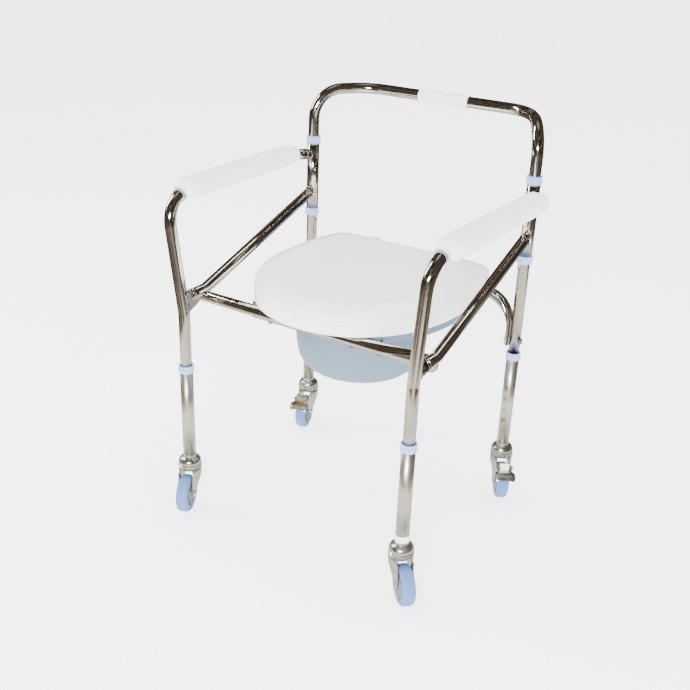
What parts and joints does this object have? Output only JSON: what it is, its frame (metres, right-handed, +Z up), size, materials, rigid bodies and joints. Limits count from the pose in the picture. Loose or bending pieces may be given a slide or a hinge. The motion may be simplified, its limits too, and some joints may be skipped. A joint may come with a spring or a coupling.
{
  "type": "commode chair",
  "caption": "Commode chair with a bent chromed tube frame, armrests, raised lid and seat ring, slide-out pail, telescoping legs and braked swivel castors.",
  "frame": {"origin": "middle of the bounding box on the floor", "axes": "+Z up, the front of the chair faces -Y, +X to the sitter's left"},
  "size_m": [0.6093, 0.5979, 0.7915],
  "materials": {
    "chrome": "polished",
    "leg_chrome": "polished",
    "bush_plastic": "satin",
    "pad_foam": "matte",
    "white_sleeve": "satin",
    "seat_plastic": "satin",
    "pail_plastic": "satin",
    "tyre_rubber": "matte",
    "hub_plastic": "satin",
    "brass_plate": "plated",
    "zinc": "zinc plated"
  },
  "bodies": {
    "frame": {"rear_frame_tube": "chrome", "socket_tube_left": "chrome", "socket_tube_right": "chrome", "socket_collar_low_left": "bush_plastic", "socket_collar_low_right": "bush_plastic", "socket_collar_high_left": "bush_plastic", "socket_collar_high_right": "bush_plastic", "arm_tube_left": "chrome", "arm_tube_right": "chrome", "brace_left": "chrome", "brace_right": "chrome", "hinge_bracket_left": "chrome", "hinge_bracket_right": "chrome", "front_crossbar": "chrome", "rear_crossbar": "chrome", "rear_bolt_left": "zinc", "rear_bolt_right": "zinc", "carrier_bolt_left": "zinc", "carrier_bolt_right": "zinc", "arm_pad_left": "pad_foam", "arm_pad_right": "pad_foam", "backrest_sleeve": "white_sleeve", "pail_carrier": "pail_plastic", "hinge_pin": "zinc"},
    "socket_button_left_body": {"socket_button_left": "zinc"},
    "socket_button_right_body": {"socket_button_right": "zinc"},
    "leg_front_left_body": {"lower_leg_front_left": "leg_chrome", "leg_collar_front_left": "bush_plastic", "castor_stem_front_left": "zinc"},
    "leg_button_front_left_body": {"leg_button_front_left": "zinc"},
    "fork_front_left_body": {"castor_fork_front_left": "zinc"},
    "wheel_front_left_body": {"wheel_hub_front_left": "hub_plastic", "tyre_front_left": "tyre_rubber"},
    "leg_front_right_body": {"lower_leg_front_right": "leg_chrome", "leg_collar_front_right": "bush_plastic", "castor_stem_front_right": "zinc"},
    "leg_button_front_right_body": {"leg_button_front_right": "zinc"},
    "fork_front_right_body": {"castor_fork_front_right": "zinc"},
    "wheel_front_right_body": {"wheel_hub_front_right": "hub_plastic", "tyre_front_right": "tyre_rubber"},
    "leg_rear_left_body": {"lower_leg_rear_left": "leg_chrome", "leg_collar_rear_left": "bush_plastic", "castor_stem_rear_left": "zinc"},
    "leg_button_rear_left_body": {"leg_button_rear_left": "zinc"},
    "fork_rear_left_body": {"castor_fork_rear_left": "zinc"},
    "wheel_rear_left_body": {"wheel_hub_rear_left": "hub_plastic", "tyre_rear_left": "tyre_rubber"},
    "pedal_rear_left_body": {"brake_pedal_rear_left": "brass_plate"},
    "leg_rear_right_body": {"lower_leg_rear_right": "leg_chrome", "leg_collar_rear_right": "bush_plastic", "castor_stem_rear_right": "zinc"},
    "leg_button_rear_right_body": {"leg_button_rear_right": "zinc"},
    "fork_rear_right_body": {"castor_fork_rear_right": "zinc"},
    "wheel_rear_right_body": {"wheel_hub_rear_right": "hub_plastic", "tyre_rear_right": "tyre_rubber"},
    "pedal_rear_right_body": {"brake_pedal_rear_right": "zinc"},
    "ring_body": {"seat_ring": "seat_plastic"},
    "lid_body": {"seat_lid": "seat_plastic"},
    "pail_body": {"pail": "pail_plastic"}
  },
  "joints": [
    {"name": "socket_button_press_left", "type": "slide", "parent": "frame", "child": "socket_button_left_body", "axis": [-1, 0, 0], "range_m": [0, 0.002], "stiffness_N_per_m": 400},
    {"name": "socket_button_press_right", "type": "slide", "parent": "frame", "child": "socket_button_right_body", "axis": [1, 0, 0], "range_m": [0, 0.002], "stiffness_N_per_m": 400},
    {"name": "leg_extend_front_left", "type": "slide", "parent": "frame", "child": "leg_front_left_body", "axis": [0, 0, -1], "range_m": [0, 0.075]},
    {"name": "leg_button_press_front_left", "type": "slide", "parent": "leg_front_left_body", "child": "leg_button_front_left_body", "axis": [0, -1, 0], "range_m": [0, 0.002], "stiffness_N_per_m": 400},
    {"name": "castor_swivel_front_left", "type": "hinge", "parent": "leg_front_left_body", "child": "fork_front_left_body", "pos_m": [-0.2517, -0.2361, 0.086], "axis": [0, 0, 1], "continuous": true},
    {"name": "wheel_spin_front_left", "type": "hinge", "parent": "fork_front_left_body", "child": "wheel_front_left_body", "pos_m": [-0.24076, -0.26187, 0.0375], "axis": [0.9205, 0.3907, 0], "continuous": true},
    {"name": "leg_extend_front_right", "type": "slide", "parent": "frame", "child": "leg_front_right_body", "axis": [0, 0, -1], "range_m": [0, 0.075]},
    {"name": "leg_button_press_front_right", "type": "slide", "parent": "leg_front_right_body", "child": "leg_button_front_right_body", "axis": [0, -1, 0], "range_m": [0, 0.002], "stiffness_N_per_m": 400},
    {"name": "castor_swivel_front_right", "type": "hinge", "parent": "leg_front_right_body", "child": "fork_front_right_body", "pos_m": [0.2413, -0.2361, 0.086], "axis": [0, 0, 1], "continuous": true},
    {"name": "wheel_spin_front_right", "type": "hinge", "parent": "fork_front_right_body", "child": "wheel_front_right_body", "pos_m": [0.26178, -0.2552, 0.0375], "axis": [0.682, 0.7314, 0], "continuous": true},
    {"name": "leg_extend_rear_left", "type": "slide", "parent": "frame", "child": "leg_rear_left_body", "axis": [0, 0, -1], "range_m": [0, 0.075]},
    {"name": "leg_button_press_rear_left", "type": "slide", "parent": "leg_rear_left_body", "child": "leg_button_rear_left_body", "axis": [0, 1, 0], "range_m": [0, 0.002], "stiffness_N_per_m": 400},
    {"name": "castor_swivel_rear_left", "type": "hinge", "parent": "leg_rear_left_body", "child": "fork_rear_left_body", "pos_m": [-0.2543, 0.1861, 0.086], "axis": [0, 0, 1], "continuous": true},
    {"name": "wheel_spin_rear_left", "type": "hinge", "parent": "fork_rear_left_body", "child": "wheel_rear_left_body", "pos_m": [-0.24611, 0.15932, 0.0375], "axis": [0.9563, 0.2924, 0], "continuous": true},
    {"name": "brake_pedal_press_rear_left", "type": "hinge", "parent": "fork_rear_left_body", "child": "pedal_rear_left_body", "pos_m": [-0.23968, 0.13828, 0.0805], "axis": [0.9563, 0.2924, 0], "range_deg": [0, 8], "stiffness_Nm_per_rad": 1},
    {"name": "leg_extend_rear_right", "type": "slide", "parent": "frame", "child": "leg_rear_right_body", "axis": [0, 0, -1], "range_m": [0, 0.075]},
    {"name": "leg_button_press_rear_right", "type": "slide", "parent": "leg_rear_right_body", "child": "leg_button_rear_right_body", "axis": [0, 1, 0], "range_m": [0, 0.002], "stiffness_N_per_m": 400},
    {"name": "castor_swivel_rear_right", "type": "hinge", "parent": "leg_rear_right_body", "child": "fork_rear_right_body", "pos_m": [0.2439, 0.1861, 0.086], "axis": [0, 0, 1], "continuous": true},
    {"name": "wheel_spin_rear_right", "type": "hinge", "parent": "fork_rear_right_body", "child": "wheel_rear_right_body", "pos_m": [0.25874, 0.16235, 0.0375], "axis": [0.848, 0.5299, 0], "continuous": true},
    {"name": "brake_pedal_press_rear_right", "type": "hinge", "parent": "fork_rear_right_body", "child": "pedal_rear_right_body", "pos_m": [0.2704, 0.1437, 0.0805], "axis": [0.848, 0.5299, 0], "range_deg": [0, 8], "stiffness_Nm_per_rad": 1},
    {"name": "ring_hinge", "type": "hinge", "parent": "frame", "child": "ring_body", "pos_m": [-0.0052, 0.2114, 0.466], "axis": [-1, 0, 0], "range_deg": [0, 92]},
    {"name": "lid_hinge", "type": "hinge", "parent": "ring_body", "child": "lid_body", "pos_m": [-0.0052, 0.2114, 0.466], "axis": [-1, 0, 0], "range_deg": [0, 90]},
    {"name": "pail_slide", "type": "slide", "parent": "frame", "child": "pail_body", "axis": [0, 1, 0], "range_m": [0, 0.3]}
  ]
}
